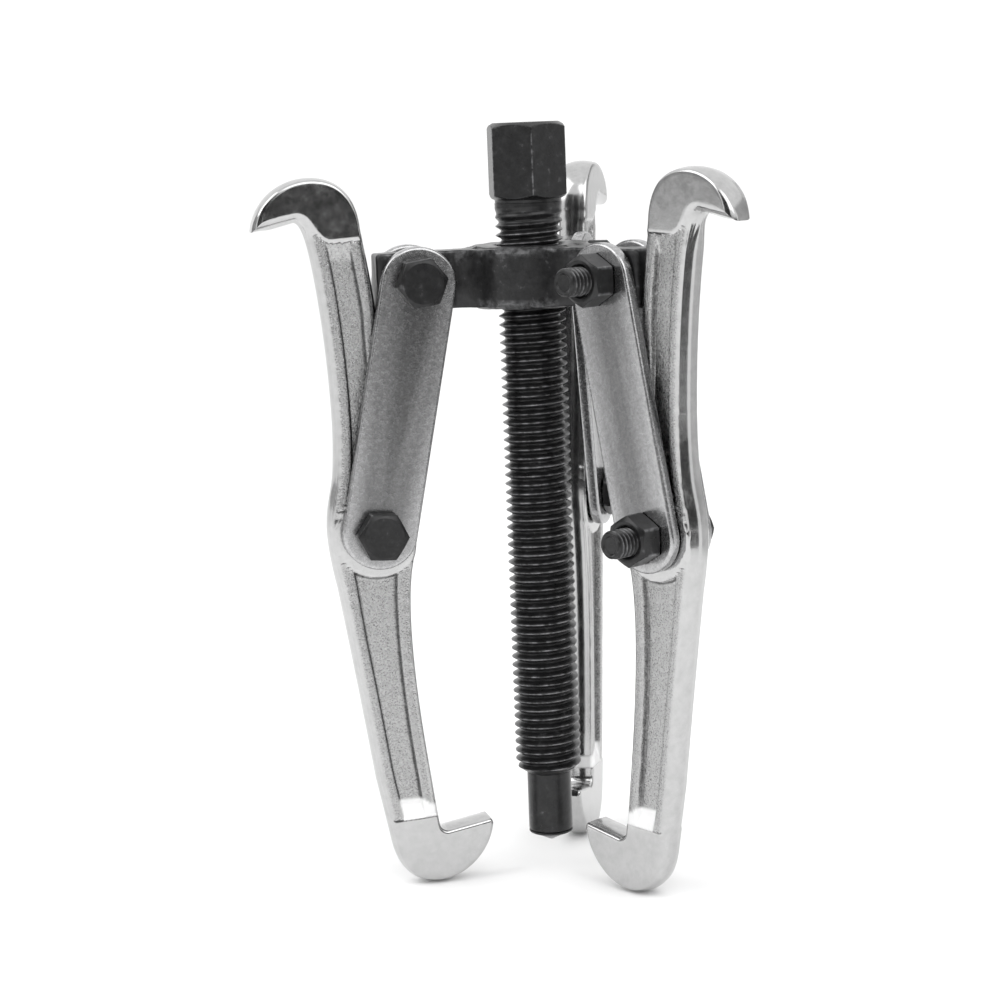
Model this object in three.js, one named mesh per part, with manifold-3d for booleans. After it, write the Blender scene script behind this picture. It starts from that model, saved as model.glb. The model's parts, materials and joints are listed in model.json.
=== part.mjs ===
/**
 * Three-jaw reversible gear puller, 150 mm class.
 *
 * Frame: millimetres, +Z up along the forcing screw, origin at the tip of the centre point.
 * An arm is drawn in its own frame and then turned about the screw: +X runs outward from the
 * screw's axis, +Y runs across the jaw towards the bolt heads, and +Z is up. The arm frame's
 * origin is on the screw's axis, level with the yoke's pivots.
 */
import * as THREE from "three";
import { mergeVertices } from "three/addons/utils/BufferGeometryUtils.js";
import Module from "manifold-3d";

const wasm = await Module();
wasm.setup();

// ---------------------------------------------------------------- driving dimensions

const GAP = 0.3;               // left between pieces that touch
const PAST = 1;                // how far a cutter, or a solid that is joined on, runs past a face
const MERGE_TOLERANCE = 1e-4;
const PIVOT_HEIGHT = 166;      // the yoke's pivots above the centre point's tip

const THREAD = { major: 19.05, minor: 16, pitch: 2.54, steps: 16, clearance: 0.45 };

const SCREW = {                // heights are above the centre point's tip
  dogBottom: 3.6,
  dogTop: 20.9,
  threadBottom: 23.1,
  threadTop: 184.5,
  headBottom: 187.5,
  headTop: 208.8,
  dogRadius: 6.4,
  neckRadius: 9.4,
  acrossFlats: 20.64,
  lowChamfer: 1.2,
  highChamfer: 1.7,
  headTurn: -7.2,              // degrees from a corner on +X
  threadOvershoot: 4,          // of the helix beyond the part of it that is kept
};

const POINT = {
  tipRadius: 1.2,
  rim: 0.5,
  pinRadius: 3,
  pinTop: 13.5,
  pinTaper: 1.5,
  boreRadius: 3.3,
  boreTop: 15.6,
  boreCone: 1.65,              // height of the drilled bore's conical end
};

const YOKE = {
  hubRadius: 18,
  hubTop: 8.8,                 // heights are from the pivots' level
  hubBottom: -8.6,
  hubChamfer: 1.8,
  lugTop: 8.2,
  lugBottom: -8,
  lugEnd: 45.2,
  lugCorner: 2.5,              // rounding of the lug's end seen from the side
  lugEdge: 1.25,               // and seen from above
  fillet: 8,
  thickness: 9,
  countersink: 1,              // of the threaded hole's mouth
};

const ARM = { count: 3, firstAngle: 90, pivotRadius: 34, span: 71.5, restSwing: 11.5 };

const LINK = { width: 21.2, end: 9.9, thickness: 3.5, bevel: 0.7 };  // end: from a pivot to the end

const FASTENER = {
  shankRadius: 3.97,
  holeRadius: 4.3,
  acrossFlats: 12.7,
  headHeight: 5,
  nutHeight: 6.75,
  tip: 21.6,                   // the thread's end, from the jaw's middle plane
  tipChamfer: 0.9,
  chamfer: 0.9,                // of the hexagons' corners, measured along the bolt
  chamferAngle: 30,            // of every hexagon, in degrees
  upperHeadTurn: 8,            // degrees that each hexagon is turned from a flat or a corner on top
  lowerHeadTurn: -4,
  nutTurn: 30,
};

const JAW = { thickness: 9, bossRadius: 12.5, pocketDepth: 1.9 };

// Outlines are [outward, up] from the jaw's pivot. "via" holds the control points of a curve.
const JAW_OUTLINE = {
  start: [31, 85.8],                                            // tip of the small hook
  steps: [
    { to: [14.5, 99.6], via: [[30.6, 91.5], [24.5, 99.6]] },    // over the crown
    { to: [1, 85.5], via: [[6.5, 99.6], [1.6, 94.5]] },
    { to: [-2.4, 62], via: [[-1.2, 73]] },                      // down the inner edge
    { to: [-4.4, 32], via: [[-2.6, 47]] },
    { to: [-10.6, 5], via: [[-6.4, 16]] },                      // out round the boss
    { to: [-10, -9], via: [[-12, -2]] },
    { to: [-8.5, -28], via: [[-8.4, -15.5]] },
    { to: [-12, -70], via: [[-8.7, -45]] },
    { to: [-14, -86.2] },                                       // throat of the large hook
    { to: [-16.4, -88.8], via: [[-14.3, -88.4]] },
    { to: [-29.2, -86.6] },                                     // gripping face
    { to: [-30, -88.2], via: [[-29.9, -87]] },
    { to: [-13.5, -103.4], via: [[-29, -96], [-22, -103.4]] },  // round underside
    { to: [-1.2, -91.5], via: [[-7, -103.4], [-2.9, -99.5]] },
    { to: [2.6, -72], via: [[0.8, -81]] },                      // up the outer edge
    { to: [11, -15.4], via: [[6.5, -44]] },
    { to: [13.2, 1], via: [[13.1, -5.5]] },                     // bend at the boss
    { to: [10.6, 17], via: [[13, 7.5]] },
    { to: [10.3, 36], via: [[10, 26.5]] },
    { to: [13.1, 71], via: [[10.8, 54]] },
    { to: [19.6, 88.5], via: [[14.8, 83], [16.3, 89.3]] },      // throat of the small hook
  ],
};

const UPPER_POCKET = {
  start: [10.4, 79],
  steps: [
    { to: [3.2, 79] },
    { to: [1.2, 58], via: [[2.2, 68]] },
    { to: [-1, 30], via: [[0.6, 44]] },
    { to: [-5, 8], via: [[-2.4, 18]] },
    { to: [8.5, 8] },
    { to: [6.7, 30], via: [[6.7, 18]] },
    { to: [8.2, 58], via: [[6.8, 44]] },
  ],
};

const LOWER_POCKET = {
  start: [-9.6, -79.5],
  steps: [
    { to: [-2.4, -79.5] },
    { to: [0.2, -62], via: [[-0.9, -70.5]] },
    { to: [5.4, -22], via: [[2.8, -43]] },
    { to: [9, -7], via: [[6.6, -13]] },
    { to: [-7, -7] },
    { to: [-4.4, -22], via: [[-4.6, -14]] },
    { to: [-6.2, -53], via: [[-4.2, -38]] },
  ],
};

const CURVE_STEPS = 5;
const ROUND_STEPS = 16;

// ---------------------------------------------------------------- materials

const metal = (color, roughness, metalness) => new THREE.MeshStandardMaterial({ color, roughness, metalness });
const blackOxide = () => metal(0x1f2022, 0.42, 0.7);
const zincPlate = () => metal(0x8f9193, 0.45, 0.9);
const satinChrome = () => metal(0xc9cbcd, 0.3, 0.95);

// ---------------------------------------------------------------- solids

const rad = THREE.MathUtils.degToRad;

function toSolid(geometry) {
  geometry.deleteAttribute("normal");
  geometry.deleteAttribute("uv");
  const merged = mergeVertices(geometry, MERGE_TOLERANCE);
  return new wasm.Manifold(new wasm.Mesh({
    numProp: 3,
    vertProperties: new Float32Array(merged.attributes.position.array),
    triVerts: new Uint32Array(merged.index.array),
  }));
}

function toGeometry(solid) {
  const mesh = solid.getMesh();
  const geometry = new THREE.BufferGeometry();
  geometry.setAttribute("position", new THREE.BufferAttribute(new Float32Array(mesh.vertProperties), 3));
  geometry.setIndex(new THREE.BufferAttribute(new Uint32Array(mesh.triVerts), 1));
  geometry.computeVertexNormals();
  return geometry;
}

/** A body of revolution about Z from a list of [radius, height] points, bottom to top. */
function turned(profile, steps = ROUND_STEPS) {
  const points = profile.map(([radius, height]) => new THREE.Vector2(radius, height));
  const geometry = new THREE.LatheGeometry(points, steps);
  geometry.rotateX(Math.PI / 2);
  return toSolid(geometry);
}

/** A solid of revolution with square ends, to join on or to cut with. */
function cylinder(radius, bottom, top) {
  return turned([[0, bottom], [radius, bottom], [radius, top], [0, top]]);
}

/** The turned end of a hexagonal bar: from the axis out to a radius beyond the corners. */
function barEnd(corner, reach, height, chamfer, inward) {
  if (chamfer === 0) return [[0, height], [reach, height]];
  const slope = Math.tan(rad(FASTENER.chamferAngle));
  const face = corner - chamfer / slope;
  return [[0, height], [face, height], [reach, height + inward * (reach - face) * slope]];
}

/** A hexagonal prism on Z whose ends are chamfered as a bar's are when it is turned. */
function hexagon(acrossFlats, bottom, top, { lowChamfer = 0, highChamfer = 0, turn = 0 } = {}) {
  const height = top - bottom;
  const corner = acrossFlats / Math.sqrt(3);
  const bar = new THREE.CylinderGeometry(corner, corner, height, 6);
  bar.rotateX(Math.PI / 2);
  bar.rotateZ(rad(turn) - Math.PI / 2);
  bar.translate(0, 0, (bottom + top) / 2);
  const reach = corner + PAST;
  const envelope = turned([
    ...barEnd(corner, reach, bottom, lowChamfer, 1),
    ...barEnd(corner, reach, top, highChamfer, -1).reverse(),
  ]);
  return toSolid(bar).intersect(envelope);
}

function trace(outline) {
  const shape = new THREE.Shape();
  shape.moveTo(...outline.start);
  for (const { to, via = [] } of outline.steps) {
    if (via.length === 2) shape.bezierCurveTo(...via[0], ...via[1], ...to);
    else if (via.length === 1) shape.quadraticCurveTo(...via[0], ...to);
    else shape.lineTo(...to);
  }
  return shape;
}

/** A plate drawn as [outward, up], standing across the arm between two values of Y. */
function plate(shape, near, far, bevel = 0) {
  const depth = far - near - 2 * bevel;
  const geometry = new THREE.ExtrudeGeometry(shape, {
    depth,
    curveSegments: CURVE_STEPS,
    bevelEnabled: bevel > 0,
    bevelThickness: bevel,
    bevelSize: bevel,
    bevelOffset: -bevel,
    bevelSegments: 1,
  });
  geometry.translate(0, 0, bevel - (far - near));
  geometry.rotateX(Math.PI / 2);
  geometry.translate(0, near, 0);
  return toSolid(geometry);
}

/** Turns a solid built on Z so that it lies across the arm, with its +Z towards +Y. */
function across(solid) {
  return solid.rotate([-90, 0, 0]);
}

function pivotHole(halfLength) {
  return across(cylinder(FASTENER.holeRadius, -halfLength, halfLength));
}

/** A solid V thread on Z: crest and root helices, with a flat fan closing each end. */
function threadedRod(crest, root, pitch, bottom, turns, steps) {
  const count = turns * steps;
  const positions = [];
  const onHelix = (radius, i, lift) => {
    const angle = (i / steps) * 2 * Math.PI;
    positions.push(radius * Math.cos(angle), radius * Math.sin(angle), bottom + (i / steps) * pitch + lift);
  };
  for (let i = 0; i <= count + steps; i += 1) onHelix(crest, i, 0);
  for (let i = 0; i <= count; i += 1) onHelix(root, i, pitch / 2);
  const crestAt = (i) => i;
  const rootAt = (i) => count + steps + 1 + i;
  const lowCentre = positions.length / 3;
  const highCentre = lowCentre + 1;
  positions.push(0, 0, bottom, 0, 0, bottom + (turns + 1) * pitch);
  const faces = [];
  for (let i = 0; i < count; i += 1) {
    faces.push(crestAt(i), crestAt(i + 1), rootAt(i), crestAt(i + 1), rootAt(i + 1), rootAt(i));
    const above = i + steps;
    faces.push(rootAt(i), rootAt(i + 1), crestAt(above), rootAt(i + 1), crestAt(above + 1), crestAt(above));
  }
  for (let i = 0; i < steps; i += 1) {
    faces.push(lowCentre, crestAt(i + 1), crestAt(i));
    faces.push(highCentre, crestAt(count + i), crestAt(count + i + 1));
  }
  faces.push(lowCentre, rootAt(0), crestAt(steps), lowCentre, crestAt(0), rootAt(0));
  faces.push(highCentre, rootAt(count), crestAt(count), highCentre, crestAt(count + steps), rootAt(count));
  const geometry = new THREE.BufferGeometry();
  geometry.setAttribute("position", new THREE.Float32BufferAttribute(positions, 3));
  geometry.setIndex(faces);
  return toSolid(geometry);
}

// ---------------------------------------------------------------- forcing screw

/** The nearest height at or under one given where a crest crosses +X, the same for screw and yoke. */
function threadStart(below) {
  return Math.floor(below / THREAD.pitch) * THREAD.pitch;
}

function forcingScrew() {
  const crest = THREAD.major / 2;
  const root = THREAD.minor / 2;
  const bottom = threadStart(SCREW.threadBottom - SCREW.threadOvershoot);
  const turns = Math.ceil((SCREW.threadTop + SCREW.threadOvershoot - bottom) / THREAD.pitch);
  const thread = threadedRod(crest, root, THREAD.pitch, bottom, turns, THREAD.steps);
  const beyond = crest + PAST;
  const threadLimits = turned([
    [0, SCREW.dogTop],
    [SCREW.dogRadius, SCREW.dogTop],
    [crest, SCREW.threadBottom],
    [beyond, SCREW.threadBottom + PAST],
    [beyond, SCREW.threadTop],
    [SCREW.neckRadius, SCREW.threadTop + PAST],
    [0, SCREW.threadTop + PAST],
  ]);
  const neck = cylinder(SCREW.neckRadius, SCREW.threadTop, SCREW.headBottom + PAST);
  const dog = cylinder(SCREW.dogRadius, SCREW.dogBottom, SCREW.dogTop + PAST);
  const head = hexagon(SCREW.acrossFlats, SCREW.headBottom, SCREW.headTop, {
    lowChamfer: SCREW.lowChamfer,
    highChamfer: SCREW.highChamfer,
    turn: SCREW.headTurn,
  });
  const bore = turned([
    [0, 0],
    [POINT.boreRadius, 0],
    [POINT.boreRadius, POINT.boreTop - POINT.boreCone],
    [0, POINT.boreTop],
  ]);
  return thread.intersect(threadLimits).add(neck).add(dog).add(head).subtract(bore);
}

function centrePoint() {
  const shoulder = SCREW.dogBottom - GAP;
  return turned([
    [0, 0],
    [POINT.tipRadius, 0],
    [SCREW.dogRadius, shoulder - POINT.rim],
    [SCREW.dogRadius, shoulder],
    [POINT.pinRadius, shoulder],
    [POINT.pinRadius, POINT.pinTop - POINT.pinTaper],
    [POINT.pinRadius - POINT.pinTaper, POINT.pinTop],
    [0, POINT.pinTop],
  ]);
}

// ---------------------------------------------------------------- yoke

/** One lug in plan, from the screw's axis to its end, with fillets that run into the hub. */
function lugPlan() {
  const half = YOKE.thickness / 2;
  const filletX = Math.sqrt((YOKE.hubRadius + YOKE.fillet) ** 2 - (half + YOKE.fillet) ** 2);
  const lean = Math.atan2(half + YOKE.fillet, filletX);
  const onHub = [YOKE.hubRadius * Math.cos(lean), YOKE.hubRadius * Math.sin(lean)];
  const cornerX = YOKE.lugEnd - YOKE.lugEdge;
  const cornerY = half - YOKE.lugEdge;
  const shape = new THREE.Shape();
  shape.moveTo(0, 0);
  shape.lineTo(onHub[0], -onHub[1]);
  shape.absarc(filletX, -half - YOKE.fillet, YOKE.fillet, Math.PI - lean, Math.PI / 2, true);
  shape.lineTo(cornerX, -half);
  shape.quadraticCurveTo(YOKE.lugEnd, -half, YOKE.lugEnd, -cornerY);
  shape.lineTo(YOKE.lugEnd, cornerY);
  shape.quadraticCurveTo(YOKE.lugEnd, half, cornerX, half);
  shape.lineTo(filletX, half);
  shape.absarc(filletX, half + YOKE.fillet, YOKE.fillet, -Math.PI / 2, -Math.PI + lean, true);
  return shape;
}

/** Rounds the lug's end where it is seen from the side. */
function lugSide() {
  const { lugEnd, lugTop, lugBottom, lugCorner } = YOKE;
  const shape = new THREE.Shape();
  shape.moveTo(0, lugBottom);
  shape.lineTo(lugEnd - lugCorner, lugBottom);
  shape.quadraticCurveTo(lugEnd, lugBottom, lugEnd, lugBottom + lugCorner);
  shape.lineTo(lugEnd, lugTop - lugCorner);
  shape.quadraticCurveTo(lugEnd, lugTop, lugEnd - lugCorner, lugTop);
  shape.lineTo(0, lugTop);
  return shape;
}

function lug() {
  const reach = YOKE.lugEnd + PAST;
  const plan = new THREE.ExtrudeGeometry(lugPlan(), {
    depth: YOKE.lugTop - YOKE.lugBottom + 2 * PAST,
    curveSegments: CURVE_STEPS,
    bevelEnabled: false,
  });
  plan.translate(0, 0, YOKE.lugBottom - PAST);
  const body = toSolid(plan).intersect(plate(lugSide(), -reach, reach));
  return body.subtract(pivotHole(YOKE.thickness).translate([ARM.pivotRadius, 0, 0]));
}

function yoke() {
  const { hubRadius, hubTop, hubBottom, hubChamfer } = YOKE;
  const rim = hubRadius - hubChamfer;
  let body = turned([
    [0, hubBottom],
    [rim, hubBottom],
    [hubRadius, hubBottom + hubChamfer],
    [hubRadius, hubTop - hubChamfer],
    [rim, hubTop],
    [0, hubTop],
  ], 2 * ROUND_STEPS);
  for (let i = 0; i < ARM.count; i += 1) body = body.add(lug().rotate([0, 0, armAngle(i)]));
  const start = threadStart(PIVOT_HEIGHT + hubBottom - SCREW.threadOvershoot) - PIVOT_HEIGHT;
  const turns = Math.ceil((hubTop + SCREW.threadOvershoot - start) / THREAD.pitch);
  const crest = THREAD.major / 2 + THREAD.clearance;
  const root = THREAD.minor / 2 + THREAD.clearance;
  const thread = threadedRod(crest, root, THREAD.pitch, start, turns, THREAD.steps);
  const mouth = turned([
    [0, hubTop - YOKE.countersink],
    [crest - YOKE.countersink, hubTop - YOKE.countersink],
    [crest + PAST, hubTop + PAST],
    [0, hubTop + PAST],
  ]);
  return body.subtract(thread).subtract(mouth);
}

// ---------------------------------------------------------------- links, jaws and fasteners

function lowerPivot() {
  const swing = rad(ARM.restSwing);
  return [ARM.pivotRadius + ARM.span * Math.sin(swing), -ARM.span * Math.cos(swing)];
}

/** A flat bar with round ends over both pivots, on the side of the jaw that sign points to. */
function link(sign) {
  const [x, z] = lowerPivot();
  const half = LINK.width / 2;
  const swing = rad(ARM.restSwing);
  const shape = new THREE.Shape();
  shape.absellipse(ARM.pivotRadius, 0, half, LINK.end, 0, Math.PI, false, swing);
  shape.absellipse(x, z, half, LINK.end, Math.PI, 2 * Math.PI, false, swing);
  const near = JAW.thickness / 2 + GAP;
  const far = near + LINK.thickness;
  const body = sign > 0 ? plate(shape, near, far, LINK.bevel) : plate(shape, -far, -near, LINK.bevel);
  const hole = pivotHole(far + PAST);
  return body.subtract(hole.translate([ARM.pivotRadius, 0, 0])).subtract(hole.translate([x, 0, z]));
}

function jaw() {
  const half = JAW.thickness / 2;
  const boss = across(turned([
    [0, -half],
    [JAW.bossRadius, -half],
    [JAW.bossRadius, half],
    [0, half],
  ], 2 * ROUND_STEPS));
  let body = plate(trace(JAW_OUTLINE), -half, half);
  for (const outline of [UPPER_POCKET, LOWER_POCKET]) {
    for (const side of [-1, 1]) {
      const floor = side * (half - JAW.pocketDepth);
      const outside = side * (half + PAST);
      const cut = plate(trace(outline), Math.min(floor, outside), Math.max(floor, outside));
      body = body.subtract(cut.subtract(boss));
    }
  }
  const [x, z] = lowerPivot();
  return body.subtract(pivotHole(half + PAST)).translate([x, 0, z]);
}

/** Where the outer face of a link ends and a bolt's head or nut begins. */
const CLAMP_FACE = JAW.thickness / 2 + GAP + LINK.thickness + GAP;

function bolt([x, z], turn) {
  const { acrossFlats, headHeight, shankRadius, tip, tipChamfer, chamfer } = FASTENER;
  const head = hexagon(acrossFlats, CLAMP_FACE, CLAMP_FACE + headHeight, { highChamfer: chamfer, turn });
  const shank = turned([
    [0, -tip],
    [shankRadius - tipChamfer, -tip],
    [shankRadius, -tip + tipChamfer],
    [shankRadius, CLAMP_FACE + PAST],
    [0, CLAMP_FACE + PAST],
  ]);
  return across(head.add(shank)).translate([x, 0, z]);
}

function nut([x, z]) {
  const { acrossFlats, nutHeight, nutTurn, holeRadius, chamfer } = FASTENER;
  const outside = -CLAMP_FACE - nutHeight;
  const body = hexagon(acrossFlats, outside, -CLAMP_FACE, { lowChamfer: chamfer, turn: nutTurn });
  const hole = cylinder(holeRadius, outside - PAST, PAST - CLAMP_FACE);
  return across(body.subtract(hole)).translate([x, 0, z]);
}

// ---------------------------------------------------------------- assembly

function armAngle(index) {
  return ARM.firstAngle + index * (360 / ARM.count);
}

function named(name, solid, material) {
  const mesh = new THREE.Mesh(toGeometry(solid), material);
  mesh.name = name;
  return mesh;
}

function armGroup(number) {
  const upper = [ARM.pivotRadius, 0];
  const lower = lowerPivot();
  const arm = new THREE.Group();
  arm.add(
    named(`jaw_${number}`, jaw(), satinChrome()),
    named(`head_side_link_${number}`, link(1), zincPlate()),
    named(`nut_side_link_${number}`, link(-1), zincPlate()),
    named(`upper_bolt_${number}`, bolt(upper, FASTENER.upperHeadTurn), blackOxide()),
    named(`lower_bolt_${number}`, bolt(lower, FASTENER.lowerHeadTurn), blackOxide()),
    named(`upper_nut_${number}`, nut(upper), blackOxide()),
    named(`lower_nut_${number}`, nut(lower), blackOxide()),
  );
  arm.position.z = PIVOT_HEIGHT;
  arm.rotation.z = rad(armAngle(number - 1));
  return arm;
}

const puller = new THREE.Group();
puller.add(named("forcing_screw", forcingScrew(), blackOxide()));
puller.add(named("centre_point", centrePoint(), blackOxide()));

const yokeMesh = named("yoke", yoke(), blackOxide());
yokeMesh.position.z = PIVOT_HEIGHT;
puller.add(yokeMesh);

for (let number = 1; number <= ARM.count; number += 1) puller.add(armGroup(number));

export default puller;
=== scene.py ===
import json
import math
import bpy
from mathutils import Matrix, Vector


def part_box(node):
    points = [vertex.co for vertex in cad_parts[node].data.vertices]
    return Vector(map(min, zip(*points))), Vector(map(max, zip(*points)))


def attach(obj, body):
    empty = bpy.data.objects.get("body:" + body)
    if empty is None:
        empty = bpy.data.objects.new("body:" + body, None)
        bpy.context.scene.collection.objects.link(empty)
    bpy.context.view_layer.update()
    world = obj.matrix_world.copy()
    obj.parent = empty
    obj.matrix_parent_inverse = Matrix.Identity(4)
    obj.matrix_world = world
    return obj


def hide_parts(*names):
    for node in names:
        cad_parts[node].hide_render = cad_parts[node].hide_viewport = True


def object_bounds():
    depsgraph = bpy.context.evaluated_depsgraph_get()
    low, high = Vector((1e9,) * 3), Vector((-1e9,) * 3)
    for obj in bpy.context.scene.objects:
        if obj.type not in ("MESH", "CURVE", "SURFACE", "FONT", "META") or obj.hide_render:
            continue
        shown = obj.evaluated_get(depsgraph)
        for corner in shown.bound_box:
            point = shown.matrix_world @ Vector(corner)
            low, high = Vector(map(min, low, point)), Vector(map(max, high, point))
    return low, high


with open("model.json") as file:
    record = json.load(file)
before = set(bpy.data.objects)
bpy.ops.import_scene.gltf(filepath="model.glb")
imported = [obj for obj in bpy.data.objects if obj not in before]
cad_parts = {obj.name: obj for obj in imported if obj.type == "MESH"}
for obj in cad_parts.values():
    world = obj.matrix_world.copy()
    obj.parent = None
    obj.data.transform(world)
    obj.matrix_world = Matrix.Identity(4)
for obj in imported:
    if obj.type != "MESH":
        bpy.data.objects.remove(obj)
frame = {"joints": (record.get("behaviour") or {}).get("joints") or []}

from types import SimpleNamespace as Named

import bmesh
import bpy
import numpy as np
from mathutils import Matrix, Vector
from mathutils.kdtree import KDTree

# Reversible gear puller. Pieces are drawn in millimetres in a frame of their own and then placed:
# the screw and yoke on the screw's axis, and an arm's pieces as [outward, across, up] from a pivot.

CAD_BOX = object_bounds()
MM = 0.001
ROW_FRAME = Matrix.Scale(MM, 4)

# ---- sizes, in millimetres

SCREW_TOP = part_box("forcing_screw")[1].z / MM
SCREW_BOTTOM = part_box("forcing_screw")[0].z / MM
POINT_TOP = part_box("centre_point")[1].z / MM

SCREW = Named(
    major=19.05, pitch=2.54, depth=1.6, dog_radius=6.4, dog_top=20.9, thread_bottom=23.1,
    run_out=177.0, thread_top=186.4, neck_radius=9.4, neck_top=187.5, across_flats=20.64,
    chamfer=1.5, low_chamfer=1.2, turn=-7.2, edge=0.3, head_rim=2.2,
)
POINT = Named(
    tip_radius=0.7, cone_top=2.75, bore_radius=3.3, pin_radius=3.0, pin_taper=1.5, bore_end=1.65,
)
YOKE = Named(
    hub_radius=18.0, hub_top=8.8, hub_bottom=-8.6, chamfer=1.8, lug_top=8.2, lug_bottom=-8.0,
    lug_end=45.2, half_width=4.5, fillet=8.0, edge=0.7, corner=1.1, plan_corner=1.4, hole=10.3,
    mouth=10.775,           # radius of the hole's countersinks
)
BOLT = Named(
    major=7.94, pitch=1.411, depth=0.82, across_flats=12.7, head=5.0, nut=6.75, tip=21.6,
    thread_start=-9.2, run_out=1.5, chamfer=0.95, face_chamfer=0.25, cup=2.65, ring=3.25,
    tip_slope=0.9, nut_clearance=0.12, hole=4.3,
)
LINK = Named(width=21.2, thickness=3.5, edge=0.85, end=9.9, columns=40)
GAP = 0.3
JAW_HALF = 4.5
CLAMP_FACE = JAW_HALF + GAP + LINK.thickness + GAP
HEAD_TURN = dict(upper=8.0, lower=-4.0)
NUT_TURN = 30.0
PAST = 1                # how far a cutter across an arm runs past a face

JOINTS = {joint["name"]: joint for joint in frame["joints"]}
ARMS = sorted(int(name.rsplit("_", 1)[1]) for name in JOINTS if name.startswith("link_swing_"))
UPPER = Vector(JOINTS["link_swing_1"]["pos_m"]) / MM
LOWER = Vector(JOINTS["jaw_swing_1"]["pos_m"]) / MM
UPPER_RADIUS = math.hypot(UPPER.x, UPPER.y)
UPPER_HEIGHT = UPPER.z
SPAN = (LOWER - UPPER).length
LEAN = math.asin((math.hypot(LOWER.x, LOWER.y) - UPPER_RADIUS) / SPAN)

# The jaw's outline is [outward, up] from its pivot: two edges that run from the small hook's tip
# to the large hook's tip. Each step is a curve's control points and its end.
SMALL_TIP = (31, 85.8)
INNER_EDGE = [
    [(30.6, 91.5), (24.5, 99.6), (14.5, 99.6)],
    [(6.5, 99.6), (1.6, 94.5), (1, 85.5)],
    [(-1.2, 73), (-2.4, 62)],
    [(-2.6, 47), (-4.4, 32)],
    [(-6.4, 16), (-10.6, 5)],
    [(-12, -2), (-10, -9)],
    [(-8.4, -15.5), (-8.5, -28)],
    [(-8.7, -45), (-12, -70)],
    [(-14, -86.2)],
    [(-14.3, -88.4), (-16.4, -88.8)],
    [(-29.2, -86.6)],
    [(-29.9, -87), (-30, -88.2)],
]
OUTER_EDGE = [
    [(19.6, 88.5)],
    [(16.3, 89.3), (14.8, 83), (13.1, 71)],
    [(10.8, 54), (10.3, 36)],
    [(10, 26.5), (10.8, 17.5)],
    [(11.3, 11.8), (13.2, 8.5), (13.2, 1)],
    [(13.1, -5.5), (11, -15.4)],
    [(6.5, -44), (2.6, -72)],
    [(0.8, -81), (-1.2, -91.5)],
    [(-2.9, -99.5), (-7, -103.4), (-13.5, -103.4)],
    [(-22, -103.4), (-29, -96), (-30, -88.2)],
]
# Places on the inner and the outer edge that face each other, counted in steps.
FACING = [
    (0, 0), (1, 1), (2, 1.6), (2.5, 2), (3, 2.26), (4, 3.2), (5, 4.75), (6, 5.6), (7, 6.22), (8, 7),
    (9, 8), (10, 8.9), (11, 9.93), (12, 10),
]
JAW = Named(
    boss=12.6, rim_drop=0.35, pocket=1.5, wall=0.75, rim=3.5, rim_at_boss=1.0, rim_reach=17,
    edge=1.05, throat_edge=1.7, throat_up=86, throat_reach=5, crown=(0.5, 0.75), step=0.42,
    hole=4.3,
)
# Distances from the jaw's edges to the rows of points beside them, as far as the flat of the rim,
# then shares of the rim's width and of the pocket's wall.
EDGE_ROWS = (0, 0.04, 0.14, 0.3, 0.52, 0.8, 1.1)
RIM_ROWS = (0.3, 0.65, 0.95)
WALL_ROWS = (0.2, 0.4, 0.6, 0.8, 1.05)
# The small hook's ground face ends at a slanting line: a point on it, and its direction outwards.
THROAT_POINT = (17.8, 88.8)
THROAT_AWAY = (0.626, -0.778)
# Where zones of the jaw begin and end: counted from the boss's radius, from the line, or in the
# jaw's own outward and up.
ZONE = Named(
    boss=(-0.1, 0.45), beside_boss=(0.2, 0.9), throat=(-0.3, 1.2), throat_out=(16.6, 18.4),
    small_hook=(81.9, 83.5), large_hook=(83.6, 85.0), pocket_top=(76.5, 82.5),
    pocket_bottom=(79.0, 84.4), throat_edge=(9, 13), crown=(1, 9), slant=0.05,
)
# The same for what its material reads, which also counts from the rim's width.
PAINT = Named(
    polished=(0.02, 0.2), ramp_corner=(-2.2, 0.4), ramp_drop=1.6, ramp=(78.1, 79.3),
    ramp_side=(-0.4, 0.5), ramp_ground=(0.5, 1), side=(-1.1, -0.9), rough=(0.7, 1.7),
    crease_foot=0.8, crease_half=0.45, crease_boss=(0, 0.6), crease_top=79.5, crease_fade=(0, 5),
    crease_low=(77.5, 79.5), arc_out=0.75, arc_half=0.36, arc_depth=(0, 1), chips_slope=0.148,
    chips_up=84.25, chips=(0.3, 1.6), chips_out=(15, 18),
)
# Where bare metal, marks and the painted shade round the bolts show, counted from the edge or level
# that is named, and how bare the metal is there.
WEAR_AND_SHADE = Named(
    run_out=(-5, 0), crest=(-0.3, 0), screw_corner=(-0.16, -0.06), thread=(-0.2, 0),
    thread_clearance=0.05, corner=(-0.22, -0.08), tip=(0.2, 1.2), mouth=(10.8, 13.5),
    mouth_height=(-1.2, -0.3), rim_in=(16.0, 16.8), rim_out=(18.3, 18.6),
    rim_top=(-2.4, -1.6), rim_low=(-3, -2), lug_drop=0.3, lug_edge=(0.2, 0.6), lug_from=(18, 20),
    ring_radius=8.1, ring=(0.1, 0.5), halo=(7.2, 9.0),
)
BARE = Named(crest=0.55, head=0.45, fastener=0.5, mouth=0.6, yoke=0.24)

# ---- camera

CAMERA = Named(
    place=(0.1851, -0.6709, 0.2141), angles=(16.35, -9.19, -2.26), lens=88.1, sensor=36.0,
)


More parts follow.
